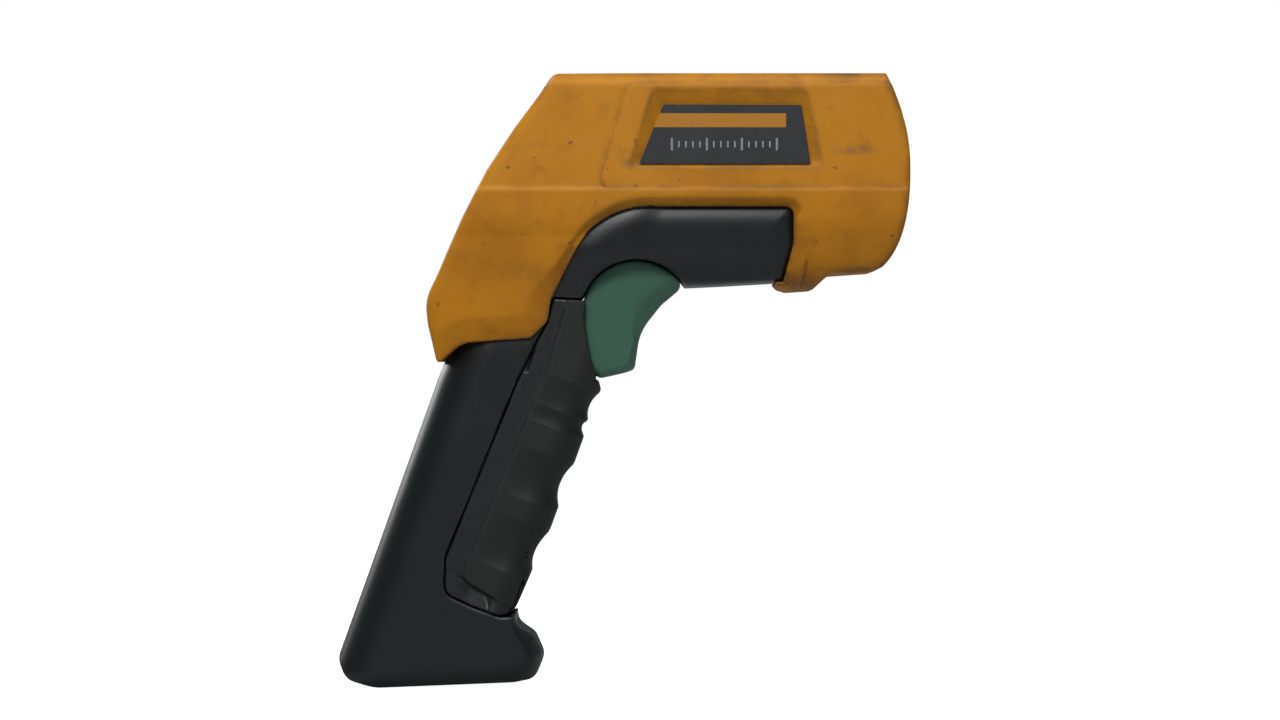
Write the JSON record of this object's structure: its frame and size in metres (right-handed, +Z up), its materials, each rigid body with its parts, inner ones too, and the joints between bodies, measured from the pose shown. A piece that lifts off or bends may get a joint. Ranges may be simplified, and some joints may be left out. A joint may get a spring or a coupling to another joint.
{
  "type": "infrared thermometer",
  "caption": "Pistol-grip infrared thermometer with a squeeze trigger, hinged battery door in the grip, sloping display and keypad, and a hooded lens.",
  "frame": {"origin": "mouth of the tripod thread in the base of the grip", "axes": "+X forward to the lens, +Y to the instrument's left, +Z up from the base to the head"},
  "size_m": [0.1643, 0.0518, 0.1768],
  "materials": {
    "charcoal_plastic": "satin",
    "yellow_plastic": "satin",
    "label": "satin",
    "window_glass": "clear",
    "display_panel": "satin",
    "key_rubber": "matte",
    "circuit_board": "satin",
    "steel": "plain",
    "lens_glass": "polished",
    "brass": "plain",
    "laser_glass": "clear",
    "copper_flex": "satin",
    "door_rubber": "matte",
    "green_plastic": "satin",
    "red_wire": "gloss",
    "cell_wrap": "gloss"
  },
  "bodies": {
    "body": {"left_housing": "charcoal_plastic", "right_housing": "charcoal_plastic", "left_cover": "yellow_plastic", "right_cover": "yellow_plastic", "left_label": "label", "right_label": "label", "rear_bezel": "charcoal_plastic", "display_window": "window_glass", "display_module": "display_panel", "keypad_membrane": "key_rubber", "main_board": "circuit_board", "board_screws": "steel", "buzzer": "charcoal_plastic", "front_bezel": "charcoal_plastic", "lens_barrel": "charcoal_plastic", "lens": "lens_glass", "lens_ring": "charcoal_plastic", "detector": "steel", "sensor_board": "circuit_board", "laser_module": "brass", "laser_window": "laser_glass", "ribbon_cable": "copper_flex", "probe_socket": "circuit_board", "usb_socket": "steel", "trigger_spring": "steel", "switch_body": "charcoal_plastic", "door_hinge_pin": "steel", "battery_tray": "charcoal_plastic", "battery_cells": "cell_wrap", "contact_springs": "steel", "contact_plates": "steel", "battery_leads": "red_wire", "housing_screws": "steel", "cover_screws": "steel", "tripod_insert": "brass"},
    "trigger": {"trigger": "green_plastic", "trigger_pin": "steel"},
    "switch_plunger": {"switch_plunger": "red_wire"},
    "battery_door": {"battery_door": "door_rubber"},
    "key_left": {"key_left": "key_rubber"},
    "key_right": {"key_right": "key_rubber"},
    "key_up": {"key_up": "key_rubber"},
    "key_down": {"key_down": "key_rubber"},
    "port_cover": {"port_cover": "door_rubber"}
  },
  "joints": [
    {"name": "trigger_squeeze", "type": "hinge", "parent": "body", "child": "trigger", "pos_m": [0.0544, 0, 0.1078], "axis": [0, 1, 0], "range_deg": [0, 10], "stiffness_Nm_per_rad": 0.3, "deforming": ["trigger_spring"]},
    {"name": "switch_press", "type": "slide", "parent": "body", "child": "switch_plunger", "axis": [-1, 0, 0], "range_m": [0, 0.0016]},
    {"name": "door_hinge", "type": "hinge", "parent": "body", "child": "battery_door", "pos_m": [0.0171, 0, 0.0251], "axis": [0, 1, 0], "range_deg": [0, 55]},
    {"name": "key_left_press", "type": "slide", "parent": "body", "child": "key_left", "axis": [0.8692, 0, -0.4945], "range_m": [0, 0.0005], "stiffness_N_per_m": 800},
    {"name": "key_right_press", "type": "slide", "parent": "body", "child": "key_right", "axis": [0.8692, 0, -0.4945], "range_m": [0, 0.0005], "stiffness_N_per_m": 800},
    {"name": "key_up_press", "type": "slide", "parent": "body", "child": "key_up", "axis": [0.8692, 0, -0.4945], "range_m": [0, 0.0005], "stiffness_N_per_m": 800},
    {"name": "key_down_press", "type": "slide", "parent": "body", "child": "key_down", "axis": [0.8692, 0, -0.4945], "range_m": [0, 0.0005], "stiffness_N_per_m": 800},
    {"name": "port_cover_flap", "type": "hinge", "parent": "body", "child": "port_cover", "pos_m": [0.0165, 0.021, 0.1067], "axis": [-1, 0, 0], "range_deg": [0, 90]}
  ],
  "couplings": [
    {"joint": "switch_press", "follows": "trigger_squeeze", "m_per_rad": 0.0088}
  ]
}
